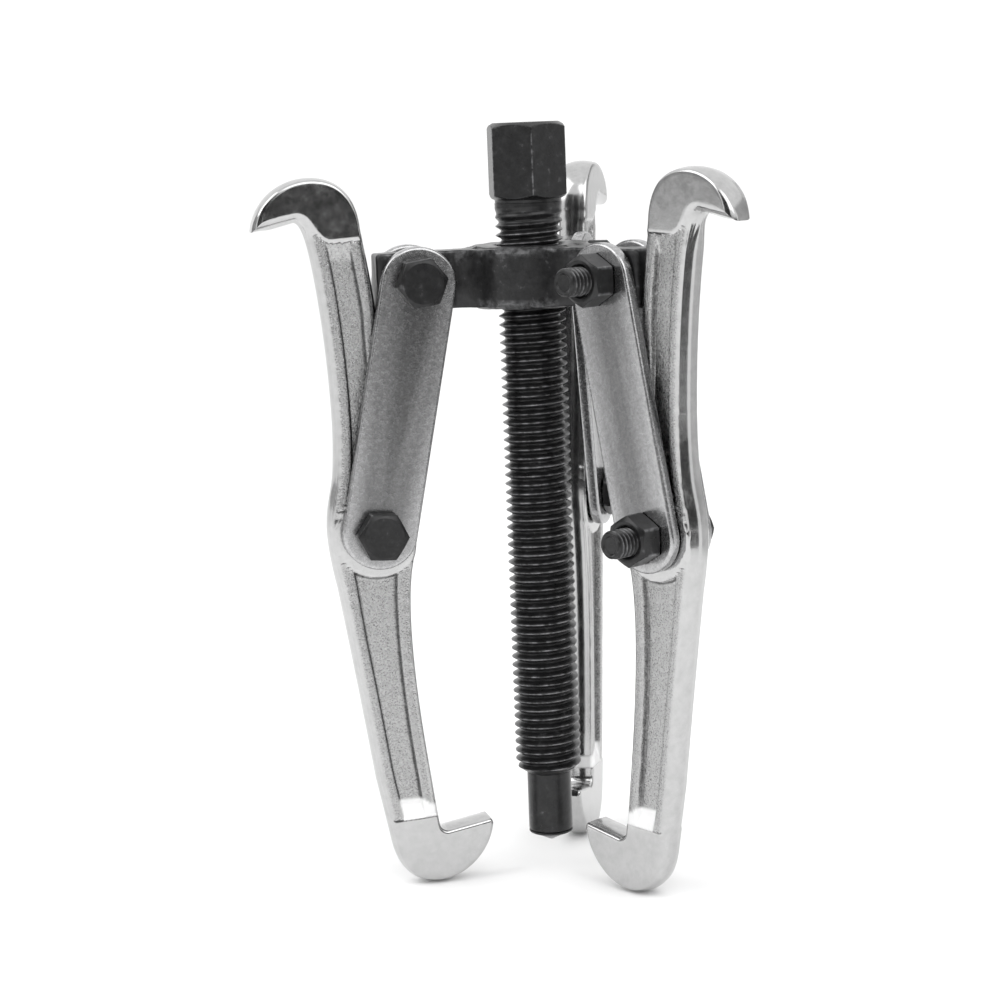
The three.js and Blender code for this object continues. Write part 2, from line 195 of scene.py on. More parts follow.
def make_camera():
    """The scene's camera, turned left from +Y, tilted and rolled by its angles in degrees."""
    turn, pitch, roll = (math.radians(angle) for angle in CAMERA.angles)
    forward = Vector((
        -math.sin(turn) * math.cos(pitch), math.cos(turn) * math.cos(pitch), math.sin(pitch)
    ))
    level = Vector((math.cos(turn), math.sin(turn), 0))
    above = level.cross(forward)
    right = math.cos(roll) * level + math.sin(roll) * above
    up = -math.sin(roll) * level + math.cos(roll) * above
    data = bpy.data.cameras.new("camera")
    data.lens = CAMERA.lens
    data.sensor_width = CAMERA.sensor
    camera = new_object("camera", data)
    turned = Matrix((right, up, -forward)).transposed().to_4x4()
    camera.matrix_world = Matrix.Translation(CAMERA.place) @ turned
    bpy.context.scene.camera = camera


# ---- mesh tools

def new_object(name, data):
    """An object in the scene, from a mesh, a camera or a light."""
    obj = bpy.data.objects.new(name, data)
    bpy.context.scene.collection.objects.link(obj)
    return obj


def smooth(value, start, end):
    """0 before start, 1 after end, with an even S between them."""
    t = np.clip((np.asarray(value, float) - start) / (end - start), 0, 1)
    return t * t * (3 - 2 * t)


def smooth_past(value, level, band):
    """The same, with its start and end counted from a level."""
    return smooth(value, level + band[0], level + band[1])


def bell(offset, half_width):
    """1 in the middle, falling off evenly to both sides."""
    return np.exp(-(offset / half_width) ** 2)


def soft_min(a, b, blend):
    """The lesser of two surfaces, rounded where they meet."""
    h = np.clip(0.5 + 0.5 * (b - a) / blend, 0, 1)
    return b * (1 - h) + a * h - blend * h * (1 - h)


def soft_max(a, b, blend):
    """The greater of two surfaces, rounded where they meet."""
    return -soft_min(-a, -b, blend)


def rounding(distance, radius):
    """How far a surface has dropped at a distance inside a rounded edge."""
    inside = np.clip(radius - np.asarray(distance, float), 0, radius)
    return radius - np.sqrt(np.maximum(radius ** 2 - inside ** 2, 0))


def grid_faces(rows, columns, offset=0):
    """The quads of a grid of points, whose first point has the number given."""
    j, i = np.meshgrid(np.arange(rows - 1), np.arange(columns - 1), indexing="ij")
    first = (offset + j * columns + i).ravel()
    return np.stack([first, first + 1, first + columns + 1, first + columns], 1)


def build_mesh(name, points, quads, merge=1e-4):
    """A mesh from points and quads, with doubled points merged and its faces turned outwards."""
    mesh = bpy.data.meshes.new(name)
    mesh.vertices.add(len(points))
    mesh.vertices.foreach_set("co", np.asarray(points, np.float32).ravel())
    mesh.loops.add(len(quads) * 4)
    mesh.loops.foreach_set("vertex_index", np.asarray(quads, np.int32).ravel())
    mesh.polygons.add(len(quads))
    mesh.polygons.foreach_set("loop_start", np.arange(0, len(quads) * 4, 4, dtype=np.int32))
    mesh.update(calc_edges=True)
    shape = bmesh.new()
    shape.from_mesh(mesh)
    bmesh.ops.remove_doubles(shape, verts=shape.verts, dist=merge)
    bmesh.ops.recalc_face_normals(shape, faces=shape.faces)
    shape.to_mesh(mesh)
    shape.free()
    return mesh


def join_sheets(name, sheets, merge):
    """One closed mesh from sheets of points that meet along their borders."""
    points, quads, count = [], [], 0
    for sheet in sheets:
        rows, columns = sheet.shape[:2]
        points.append(sheet.reshape(-1, 3))
        quads.append(grid_faces(rows, columns, count))
        count += rows * columns
    return build_mesh(name, np.concatenate(points), np.concatenate(quads), merge)


def vertex_array(mesh, key="co"):
    """One vector for each of a mesh's points: its place, or its normal."""
    values = np.empty(len(mesh.vertices) * 3, np.float32)
    mesh.vertices.foreach_get(key, values)
    return values.reshape(-1, 3).astype(float)


def paint(mesh, name, values):
    """Stores one number or one vector for each point of a mesh, for its material to read."""
    values = np.asarray(values, np.float32)
    kind, key = ("FLOAT", "value") if values.ndim == 1 else ("FLOAT_VECTOR", "vector")
    layer = mesh.attributes.new(name, kind, "POINT")
    layer.data.foreach_set(key, values.ravel())


def cut(mesh, cutters):
    """The mesh with each cutter's mesh taken out of it."""
    body = new_object("being_cut", mesh)
    tools = []
    for number, cutter in enumerate(cutters):
        tool = new_object(f"cutter_{number}", cutter)
        modifier = body.modifiers.new(f"cut_{number}", "BOOLEAN")
        modifier.operation = "DIFFERENCE"
        modifier.solver = "EXACT"
        modifier.object = tool
        tools.append(tool)
    depsgraph = bpy.context.evaluated_depsgraph_get()
    result = bpy.data.meshes.new_from_object(body.evaluated_get(depsgraph))
    for thing in [body, *tools]:
        bpy.data.objects.remove(thing)
    return result


def piece(node, mesh, placing, body, finish, sharp, paints):
    """Puts a mesh drawn in millimetres where its CAD node is, as that node's visible piece.

    Its edges stay sharp above an angle in degrees, and paints gives its points' attributes.
    """
    slot, material = finish
    local = vertex_array(mesh)
    paint(mesh, "part_mm", local)
    for name, values in paints(local).items():
        paint(mesh, name, values)
    mesh.transform(placing)
    mesh.polygons.foreach_set("use_smooth", np.ones(len(mesh.polygons), bool))
    mesh.set_sharp_from_angle(angle=math.radians(sharp))
    mesh.materials.clear()
    mesh.materials.append(material)
    obj = new_object(node + "_steel", mesh)
    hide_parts(node)
    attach(obj, body)


# ---- turned and hexagonal shapes

ROUND_STEPS = 72
CORNER_ANGLES = [-1.3, -0.6, -0.2, 0.2, 0.6, 1.3]
CORNER_CLEAR = 0.9      # degrees that an even step stays away from a corner's own angles
SEAM_CLEAR = 0.3        # and that those stay away from the first and last angle
CHAMFER_SLOPE = math.tan(math.radians(30))
CHAMFER_REACH = 1.15    # of the rows that draw a chamfer, as a share of its length
CORNER_BLEND = 0.1
CHAMFER_BLEND = 0.12


def turn_angles(corner=None):
    """Angles once round, closer together at a hexagon's corners where the first corner is given."""
    angles = np.linspace(0, 360, ROUND_STEPS + 1)
    if corner is not None:
        corners = (corner + 60 * np.arange(-1, 7))[:, None] + CORNER_ANGLES
        close = np.abs(angles[:, None] - corners.ravel()).min(1) < CORNER_CLEAR
        close[[0, -1]] = False
        inside = corners[(corners > SEAM_CLEAR) & (corners < 360 - SEAM_CLEAR)]
        angles = np.sort(np.concatenate([angles[~close], inside]))
    return np.radians(angles)


ROUND = turn_angles()
# One pitch of a V thread: places along it, and how far down the V each one is.
THREAD_FORM = [
    (0, 0.03), (0.03, 0), (0.08, 0), (0.11, 0.03), (0.14, 0.11), (0.26, 0.46), (0.40, 0.86),
    (0.46, 0.96), (0.555, 1), (0.65, 0.96), (0.71, 0.86), (0.85, 0.46), (0.97, 0.11),
]


def thread_rows(angles, major, depth, pitch, low, high, envelope, fade_from):
    """Rows that climb one pitch each turn, cut off at low and high and kept inside an envelope.

    The thread grows shallower from fade_from on, and has run out at high.
    """
    rows = []
    turns = math.ceil((high - low) / pitch) + 2
    for turn in range(turns):
        for place, down in THREAD_FORM:
            climb = (turn - 1 + place) * pitch + angles / (2 * math.pi) * pitch
            height = np.clip(low + climb, low, high)
            fade = 1 - smooth(height, fade_from, high)
            radius = major / 2 - depth * down * fade
            rows.append((np.minimum(radius, envelope(height)), height))
    return rows


def hexagon_rows(angles, across_flats, low, high, chamfer_low, chamfer_high, turn):
    """Rows of a hexagonal bar with turned chamfers. The flats are true and the edges softened."""
    corner = across_flats / math.sqrt(3)
    # A flat lies midway between two corners, and the first corner is at the angle given.
    angle = (angles - math.radians(turn)) % (math.pi / 3) - math.pi / 6
    flat = across_flats / 2 / np.cos(angle)
    beside = across_flats / 2 / np.cos(math.pi / 3 - np.abs(angle))
    prism = soft_min(flat, beside, CORNER_BLEND)
    steps = np.linspace(0, 1, 15)[1:]
    levels = [low]
    if chamfer_low:
        levels += list(low + chamfer_low * CHAMFER_REACH * steps)
    levels += list(np.linspace(levels[-1], high - chamfer_high * CHAMFER_REACH, 7)[1:-1])
    if chamfer_high:
        levels += list(high - chamfer_high * CHAMFER_REACH * steps[::-1])
    levels += [high]
    rows = []
    for z in levels:
        radius = prism
        for chamfer, inside in ((chamfer_low, z - low), (chamfer_high, high - z)):
            if chamfer:
                cone = corner + (inside - chamfer) / CHAMFER_SLOPE
                radius = soft_min(radius, cone, CHAMFER_BLEND)
        rows.append((radius, z))
    return rows


def polar_mesh(name, rows, angles=ROUND):
    """Joins rows of (radius, height) into one closed surface about Z.

    A radius or a height is one number, or one for each angle.
    """
    radius = np.array([np.broadcast_to(row[0], angles.shape) for row in rows])
    height = np.array([np.broadcast_to(row[1], angles.shape) for row in rows])
    points = np.stack([radius * np.cos(angles), radius * np.sin(angles), height], -1).reshape(-1, 3)
    return build_mesh(name, points, grid_faces(len(rows), len(angles)))


# ---- forcing screw and centre point

def forcing_screw_mesh():
    """The screw from the bore in its dog, up its thread and neck, to its hexagonal head."""
    s = SCREW
    bore, dog, neck, edge = POINT.bore_radius, s.dog_radius, s.neck_radius, s.edge
    bottom, bore_top = SCREW_BOTTOM, POINT_TOP + POINT.bore_end

    def envelope(height):
        rise = (s.major / 2 - dog) / (s.thread_bottom - s.dog_top)
        return np.minimum(dog + (height - s.dog_top) * rise, s.major / 2)

    rows = [
        (0, bore_top), (bore, bore_top - POINT.bore_end), (bore, bottom + edge),
        (bore + edge, bottom), (dog - edge, bottom), (dog - 0.08, bottom + 0.08),
        (dog, bottom + edge), (dog, bottom + 6), (dog, bottom + 12), (dog, s.dog_top - 0.25),
        (dog + 0.03, s.dog_top - 0.08),
    ]
    angles = turn_angles(s.turn)
    rows += thread_rows(
        angles, s.major, s.depth, s.pitch, s.dog_top, s.thread_top, envelope, s.run_out,
    )
    rows += [
        (neck, s.thread_top + 0.1), (neck, s.neck_top - 0.45),
        (neck + 0.08, s.neck_top - 0.18), (neck + edge, s.neck_top),
    ]
    rows += hexagon_rows(
        angles, s.across_flats, s.neck_top, SCREW_TOP, s.low_chamfer, s.chamfer, s.turn,
    )
    # The head's top has a small drilled centre.
    face = s.across_flats / 2 - s.head_rim
    rows += [(face, SCREW_TOP), (1.6, SCREW_TOP), (1.3, SCREW_TOP - 0.5), (0, SCREW_TOP - 1.1)]
    return polar_mesh("forcing_screw", rows, angles)


def centre_point_mesh():
    """The loose point under the screw: a blunt cone, a short collar, and a pin with a tapered end."""
    rim, tip, cone = SCREW.dog_radius, POINT.tip_radius, POINT.cone_top
    pin, taper = POINT.pin_radius, POINT.pin_taper
    shoulder = SCREW_BOTTOM - GAP
    return polar_mesh("centre_point", [
        (0, 0), (tip * 0.6, 0.03), (tip, 0.16), (3.4, 1.55), (rim - 0.35, cone - 0.12),
        (rim - 0.1, cone + 0.03), (rim, cone + 0.2), (rim, shoulder - 0.15), (rim - 0.15, shoulder),
        (pin + 0.3, shoulder), (pin, shoulder + 0.3), (pin, POINT_TOP - taper),
        (pin - taper, POINT_TOP), (0, POINT_TOP),
    ])


# ---- yoke

def resample(path, spacing):
    """Points about one spacing apart along a path, its two ends among them."""
    steps = np.linalg.norm(np.diff(path, axis=0), axis=1)
    along = np.concatenate([[0], np.cumsum(steps)])
    count = max(2, round(along[-1] / spacing) + 1)
    places = np.linspace(0, along[-1], count)
    return np.stack([np.interp(places, along, path[:, k]) for k in (0, 1)], 1)


YOKE_STEP = 0.55
RIM_BLEND = 0.25        # between the hub's flat and its chamfer
LUG_BLEND = 0.5         # between the hub and a lug
OFF_THE_LUG = -50
SHELF_ROWS = (0, 0.06, 0.2, 0.42, 0.7, 1.05)    # of points beside the outline, by distance
FORGING = ((0.07, 9, 3), (0.03, 3.2, 4))        # amount, size and seed of its unevenness


def yoke_fillet():
    """Where a lug's fillet begins along the lug, and the angle at which it meets the hub."""
    y = YOKE
    start = math.sqrt((y.hub_radius + y.fillet) ** 2 - (y.half_width + y.fillet) ** 2)
    return start, math.atan2(y.half_width + y.fillet, start)


def yoke_outline():
    """One third of the yoke in plan, about a lug on +X, from -60 to +60 degrees."""
    y = YOKE
    start, lean = yoke_fillet()
    half, end, edge = y.half_width, y.lug_end, y.plan_corner
    hub = np.radians(np.linspace(-60, -math.degrees(lean), 30))
    fillet = np.linspace(math.pi - lean, math.pi / 2, 24)
    corner = np.linspace(-math.pi / 2, 0, 8)
    lower = np.concatenate([
        y.hub_radius * np.stack([np.cos(hub), np.sin(hub)], 1),
        np.stack([
            start + y.fillet * np.cos(fillet), -half - y.fillet + y.fillet * np.sin(fillet)
        ], 1),
        np.stack([end - edge + edge * np.cos(corner), -half + edge + edge * np.sin(corner)], 1),
        [[end, 0]],
    ])
    upper = lower[-2::-1] * [1, -1]
    return resample(np.concatenate([lower, upper]), YOKE_STEP)


def lug_half_width(x):
    """Half of a lug's width at a distance along it, wider in the fillets beside the hub."""
    start, _ = yoke_fillet()
    into = np.clip(start - x, 0, YOKE.fillet)
    return YOKE.half_width + YOKE.fillet - np.sqrt(YOKE.fillet ** 2 - into ** 2)


def yoke_surface(points, side):
    """Height of the yoke's top (side 1) or underside (side -1) over points in one third's plan."""
    y = YOKE
    x, across = points[..., 0], np.abs(points[..., 1])
    radius = np.hypot(x, across)
    hub_level = y.hub_top if side > 0 else -y.hub_bottom
    lug_level = y.lug_top if side > 0 else -y.lug_bottom
    hub = hub_level - np.clip(radius - (y.hub_radius - y.chamfer), 0, None)
    hub = soft_min(hub, np.full_like(hub, hub_level), RIM_BLEND)
    bend = y.corner
    end = np.clip(x - (y.lug_end - bend), 0, bend)
    lug = lug_level - (bend - np.sqrt(np.maximum(bend ** 2 - end ** 2, 0)))
    to_side = lug_half_width(x) - across
    lug = np.where(to_side < 0, OFF_THE_LUG, lug - rounding(to_side, y.edge))
    return side * soft_max(hub, lug, LUG_BLEND)


def yoke_third():
    """Sheets of one third of the yoke about a lug on +X: top, underside, outer wall and bore."""
    outline = yoke_outline()
    inner = outline / np.linalg.norm(outline, axis=1, keepdims=True) * YOKE.hole
    length = np.linalg.norm(outline - inner, axis=1)
    rows = [outline + (inner - outline) * (inset / length)[:, None] for inset in SHELF_ROWS]
    rows += [rows[-1] * (1 - share) + inner * share for share in np.linspace(0, 1, 45)[1:]]
    plan = np.array(rows)
    top, low = (
        np.concatenate([plan, yoke_surface(plan, side)[..., None]], -1) for side in (1, -1)
    )
    shares = np.linspace(0, 1, 12)[:, None, None]
    wall = top[:1] * (1 - shares) + low[:1] * shares
    hole = top[-1:] * (1 - shares) + low[-1:] * shares
    return [top, low, wall, hole]


WAVES = 7
WAVES_SPREAD = 2.6      # about the square root of the number of waves


def forged(co, amount, size, seed):
    """Small smooth unevenness, as a forging has, made of a few crossed waves."""
    rng = np.random.default_rng(seed)
    offset = np.zeros(len(co))
    for _ in range(WAVES):
        direction = rng.normal(size=3)
        direction /= np.linalg.norm(direction)
        wave = size * rng.uniform(0.6, 1.6)
        offset += np.sin(co @ direction * (2 * math.pi / wave) + rng.uniform(0, 6.28))
    return amount * offset / WAVES_SPREAD


def along_arm(radius, low, high):
    """A round cutter across an arm, with its length on the across axis."""
    mesh = polar_mesh("cutter", [(0, low), (radius, low), (radius, high), (0, high)])
    mesh.transform(Matrix.Rotation(-math.pi / 2, 4, "X"))
    return mesh


def yoke_cutters(arms):
    """The pivots' holes, and a countersink at each end of the screw's plain bore."""
    cutters = []
    for arm in arms:
        hole = along_arm(BOLT.hole, -2 * YOKE.half_width, 2 * YOKE.half_width)
        hole.transform(Matrix.Rotation(arm, 4, "Z") @ Matrix.Translation((UPPER_RADIUS, 0, 0)))
        cutters.append(hole)
    mouth, deep = YOKE.mouth, 3
    for side, level in ((1, YOKE.hub_top), (-1, YOKE.hub_bottom)):
        cone = [
            (0, level - side * deep), (mouth - deep, level - side * deep),
            (mouth + deep, level + side * deep), (0, level + side * deep),
        ]
        cutters.append(polar_mesh("countersink", cone[::side]))
    return cutters


def yoke_mesh(arms):
    """The yoke about its own middle, with a lug at each of the angles given."""
    sheets = []
    for arm in arms:
        c, s = math.cos(arm), math.sin(arm)
        spin = np.array([[c, -s, 0], [s, c, 0], [0, 0, 1]])
        sheets += [(sheet.reshape(-1, 3) @ spin.T).reshape(sheet.shape) for sheet in yoke_third()]
    mesh = join_sheets("yoke", sheets, 2e-3)
    co = vertex_array(mesh)
    outside = smooth_past(np.hypot(co[:, 0], co[:, 1]), YOKE.hole, (0.5, 2))
    shift = sum(forged(co, *waves) for waves in FORGING)
    co += vertex_array(mesh, "normal") * (shift * outside)[:, None]
    mesh.vertices.foreach_set("co", np.asarray(co, np.float32).ravel())
    mesh.update()
    return cut(mesh, yoke_cutters(arms))


# ---- links

def link_mesh(span, side):
    """A flat bar with round ends, drawn from the upper pivot, whose lower end is span away."""
    half, edge = LINK.width / 2, LINK.edge
    near, far = JAW_HALF + GAP, JAW_HALF + GAP + LINK.thickness
    top = np.linspace(0, math.pi, LINK.columns)
    ends = [(top, 0.0), (top + math.pi, -span)]
    quarter = np.linspace(0, math.pi / 2, 7)
    profile = [(edge * (1 - math.sin(t)), edge * (1 - math.cos(t))) for t in quarter]
    section = [(inset, near + rise) for inset, rise in profile]
    section += [(inset, far - rise) for inset, rise in profile[::-1]]
    flat = edge + 0.12
    rows = []
    for inset, level in [(flat, near), *section, (flat, far)]:
        loop = np.concatenate([
            np.stack([
                (half - inset) * np.cos(angles),
                np.full_like(angles, side * level),
                height + (LINK.end - inset) * np.sin(angles),
            ], 1)
            for angles, height in ends
        ])
        rows.append(np.concatenate([loop, loop[:1]]))
    # Each flat face closes on the two pivots, so its first and last rows lie there.
    pivots = np.repeat([[0, 0, 0], [0, 0, -span], [0, 0, 0]], [len(top), len(top), 1], axis=0)
    grid = np.array([pivots + [0, side * near, 0], *rows, pivots + [0, side * far, 0]])
    mesh = build_mesh("link", grid.reshape(-1, 3), grid_faces(*grid.shape[:2]))
    cutters = [along_arm(BOLT.hole, -far - PAST, far + PAST) for _ in range(2)]
    cutters[1].transform(Matrix.Translation((0, 0, -span)))
    return cut(mesh, cutters)


# ---- bolts and nuts

def bolt_mesh(turn):
    """A bolt along Z whose clamped length lies about 0, with its cupped tip at the bottom."""
    b = BOLT
    tip, radius, start, cup, ring = -b.tip, b.major / 2, b.thread_start, b.cup, b.ring

    def envelope(height):
        return np.minimum(radius, ring + (height - tip) * b.tip_slope)

    rows = [
        (0, tip + 0.6), (cup - 0.35, tip + 0.5), (cup - 0.05, tip + 0.12), (cup + 0.08, tip),
        (ring, tip),
    ]
    angles = turn_angles(turn)
    fade_from = start - b.run_out * b.pitch
    rows += thread_rows(angles, b.major, b.depth, b.pitch, tip, start, envelope, fade_from)
    rows += [(radius, start + 0.05), (radius, CLAMP_FACE)]
    top = CLAMP_FACE + b.head
    rows += hexagon_rows(angles, b.across_flats, CLAMP_FACE, top, 0, b.chamfer, turn)
    rows += [(b.across_flats / 2 - 1.1, top), (0, top - 0.08)]
    return polar_mesh("bolt", rows, angles)


def nut_mesh(turn):
    """A nut on its bolt's tip end, against the link."""
    b = BOLT
    outside, inside = -CLAMP_FACE - b.nut, -CLAMP_FACE
    bore = b.major / 2 + b.nut_clearance
    rows = [
        (bore, inside), (bore, outside + 0.75), (bore + 0.7, outside + 0.05), (bore + 0.85, outside),
    ]
    angles = turn_angles(turn)
    rows += hexagon_rows(angles, b.across_flats, outside, inside, b.chamfer, b.face_chamfer, turn)
    rows += [(bore, inside)]
    return polar_mesh("nut", rows, angles)


# ---- jaws

def curve_points(start, steps, samples=40):
    """The points along an edge, and the count of steps that each one is at."""
    here, points, places = np.array(start, float), [], []
    for number, step in enumerate(steps):
        control = [here] + [np.array(p, float) for p in step]
        for t in np.linspace(0, 1, samples, endpoint=False):
            level = control
            while len(level) > 1:
                level = [a * (1 - t) + b * t for a, b in zip(level, level[1:])]
            points.append(level[0])
            places.append(number + t)
        here = control[-1]
    points.append(here)
    places.append(len(steps))
    return np.array(points), np.array(places)


def jaw_stations():
    """Facing points on the two edges, from the small hook's tip on, and the whole outline."""
    edges = []
    for steps in (INNER_EDGE, OUTER_EDGE):
        points, places = curve_points(SMALL_TIP, steps)
        along = np.concatenate([[0], np.cumsum(np.linalg.norm(np.diff(points, axis=0), axis=1))])
        edges.append((points, places, along))
    keys = np.array([
        [np.interp(pair[k], edges[k][1], edges[k][2]) for k in (0, 1)] for pair in FACING
    ])
    lengths = [np.zeros(2)]
    for low, high in zip(keys, keys[1:]):
        count = max(2, math.ceil(max(high - low) / JAW.step))
        lengths += [low + (high - low) * t for t in np.linspace(0, 1, count + 1)[1:]]
    lengths = np.array(lengths)
    facing = [
        np.stack([np.interp(lengths[:, k], along, points[:, c]) for c in (0, 1)], 1)
        for k, (points, _, along) in enumerate(edges)
    ]
    outline = np.concatenate([edges[0][0], edges[1][0][::-1]])
    return *facing, outline


def rim_width(up):
    """Width of the polished rim beside the pocket, wider near the boss."""
    return JAW.rim + JAW.rim_at_boss * bell(up, JAW.rim_reach)


def edge_radius(up, outward):
    """The rounding of the jaw's edges, larger under the small hook's throat."""
    near = bell(up - JAW.throat_up, JAW.throat_reach) * smooth(outward, *ZONE.throat_edge)
    return JAW.edge + JAW.throat_edge * near


LINE_STEP = 0.3


def distance_to(line, points):
    """Each point's distance from a line of straight steps, found from its nearest places."""
    line = resample(line, LINE_STEP)
    tree = KDTree(len(line))
    for index, (x, y) in enumerate(line):
        tree.insert((x, y, 0), index)
    tree.balance()
    flat = points.reshape(-1, 2)
    nearest = np.array([tree.find((x, y, 0))[1] for x, y in flat])
    result = np.full(len(flat), np.inf)
    for before in (-1, 0):
        start = np.clip(nearest + before, 0, len(line) - 2)
        step = line[start + 1] - line[start]
        offset = flat - line[start]
        t = np.clip((offset * step).sum(1) / (step ** 2).sum(1), 0, 1)
        result = np.minimum(result, np.linalg.norm(offset - t[:, None] * step, axis=1))
    return result.reshape(points.shape[:-1])


def jaw_zones(points, from_inner, from_outer):
    """How far each point belongs to the ground faces, and how deep in a pocket it is."""
    z = ZONE
    outward, up = points[..., 0], points[..., 1]
    radius = np.hypot(outward, up)
    boss = 1 - smooth_past(radius, JAW.boss, z.boss)
    beyond = sum(
        away * (at - start) for at, start, away in zip((outward, up), THROAT_POINT, THROAT_AWAY)
    )
    throat = smooth(beyond, *z.throat) * (1 - smooth(outward, *z.throat_out))
    small_hook = smooth(up + z.slant * outward, *z.small_hook) * (1 - throat)
    large_hook = smooth(-up - z.slant * outward, *z.large_hook)
    ground = np.maximum(boss, np.maximum(small_hook, large_hook))
    rim, wall = rim_width(up), (0, JAW.wall)
    across = smooth_past(from_inner, rim, wall) * smooth_past(from_outer, rim, wall)
    clear_of_boss = smooth_past(radius, JAW.boss, z.beside_boss)
    ends = (1 - smooth(up, *z.pocket_top)) * (1 - smooth(-up, *z.pocket_bottom))
    return ground, across * clear_of_boss * ends


TINY = 1e-6
JAW_FORGING = (0.016, 4.0)      # amount and size of its unevenness


def row_shares(width, rim):
    """Places of the rows of points between the two edges, as shares of the jaw's width."""
    flat = EDGE_ROWS[-1]
    near = [np.full_like(width, distance) for distance in EDGE_ROWS]
    near += [flat + (rim - flat) * share for share in RIM_ROWS]
    near += [rim + JAW.wall * share for share in WALL_ROWS]
    near = np.array(near)
    near = near * np.minimum(1, width / (2 * near[-1] + 1.5))
    far = (width - near)[::-1]
    between = near[-1] + (far[0] - near[-1]) * np.linspace(0, 1, 15)[1:-1, None]
    share = np.concatenate([near, between, far]) / np.maximum(width, TINY)
    share[-1] = 1
    return share


def edge_band(line, facing, half, crown):
    """The narrow face along one edge of the jaw, from side to side and crowned outwards."""
    shares = np.linspace(-1, 1, 11)[:, None]
    along = np.gradient(line, axis=0)
    normal = np.stack([along[:, 1], -along[:, 0]], 1)
    normal /= np.maximum(np.linalg.norm(normal, axis=1, keepdims=True), TINY)
    outside = np.sign(((line - facing) * normal).sum(1))
    outside[outside == 0] = 1
    fade = smooth(np.linalg.norm(line - facing, axis=1), *ZONE.crown)
    bulge = crown * (1 - shares ** 2) * fade
    place = line + normal * (bulge * outside)[..., None]
    return np.stack([place[..., 0], shares * half, place[..., 1]], -1)


def jaw_mesh(seed):
    """A jaw drawn from its pivot: a sheet over its plan on each side, and a band along each edge."""
    inner, outer, outline = jaw_stations()
    width = np.linalg.norm(outer - inner, axis=1)
    share = row_shares(width, rim_width((inner[:, 1] + outer[:, 1]) / 2))
    plan = inner[None] * (1 - share[..., None]) + outer[None] * share[..., None]
    ground, pocket = jaw_zones(plan, share * width, (1 - share) * width)
    depth = distance_to(outline, plan)
    depth[0] = depth[-1] = 0
    level = JAW_HALF - JAW.rim_drop * (1 - ground) - JAW.pocket * pocket
    flat = np.concatenate([plan.reshape(-1, 2), np.zeros((depth.size, 1))], 1)
    level = level + forged(flat, *JAW_FORGING, seed).reshape(depth.shape) * (1 - ground)
    half = level - rounding(depth, edge_radius(plan[..., 1], plan[..., 0]))
    half[0], half[-1] = np.minimum(half[0], JAW_HALF), np.minimum(half[-1], JAW_HALF)
    sheets = [np.stack([plan[..., 0], side * half, plan[..., 1]], -1) for side in (1, -1)]
    sheets.append(edge_band(inner, outer, half[0], JAW.crown[0]))
    sheets.append(edge_band(outer, inner, half[-1], JAW.crown[1]))
    hole = along_arm(JAW.hole, -JAW_HALF - PAST, JAW_HALF + PAST)
    return cut(join_sheets("jaw", sheets, 1e-3), [hole])


def jaw_paints(local):
    """What a finished jaw's material reads at each point, each from 0 to 1.

    Rough forged faces, pockets, painted shade in the creases round them, chips at the large hook's
    inner end, and the ramp where the lower pocket runs out, painted near white as a reflection.
    """
    p = PAINT
    inner, outer, _ = jaw_stations()
    plan = local[:, [0, 2]]
    from_inner = distance_to(inner, plan)
    from_outer = distance_to(outer, plan)
    ground, pocket = jaw_zones(plan, from_inner, from_outer)
    depth = np.minimum(from_inner, from_outer)
    outward, up = plan[:, 0], plan[:, 1]
    radius, rim = np.hypot(outward, up), rim_width(up)

    # Painted reflection: the ramp mask marks where the chrome is painted near white, standing in for
    # the white above that the ramp reflects.
    drop = p.ramp_drop * (1 - smooth_past(from_inner, rim, p.ramp_corner))
    ramp = smooth(-up - drop, *p.ramp) * smooth_past(from_outer, rim, p.ramp_side)
    ramp = ramp * (1 - smooth(ground, *p.ramp_ground))
    polished = np.maximum(smooth(ground, *p.polished), ramp)
    on_side = smooth_past(np.abs(local[:, 1]), JAW_HALF - JAW.pocket, p.side)
    rough = (1 - polished) * smooth(depth, *p.rough) * np.maximum(on_side, pocket)

    # Painted shade: this crease mask darkens the chrome at the foot of each pocket wall and in an arc
    # round the boss.
    foot = rim + p.crease_foot * JAW.wall
    crease = np.maximum(*(bell(edge - foot, p.crease_half) for edge in (from_inner, from_outer)))
    arc = bell(radius - JAW.boss - p.arc_out, p.arc_half)
    arc = arc * smooth_past(depth, rim.mean(), p.arc_depth)
    crease = crease * smooth_past(radius, JAW.boss, p.crease_boss)
    crease = crease * smooth(p.crease_top - up, *p.crease_fade)
    crease = np.maximum(crease * (1 - smooth(-up, *p.crease_low)), arc)

    hook_edge = np.abs(outward * p.chips_slope + up + p.chips_up)
    chips = (1 - smooth(hook_edge, *p.chips)) * smooth(-outward, *p.chips_out)
    return {"rough": rough, "pocket": pocket, "crease": crease, "chips": chips, "ramp": ramp}


# ---- materials

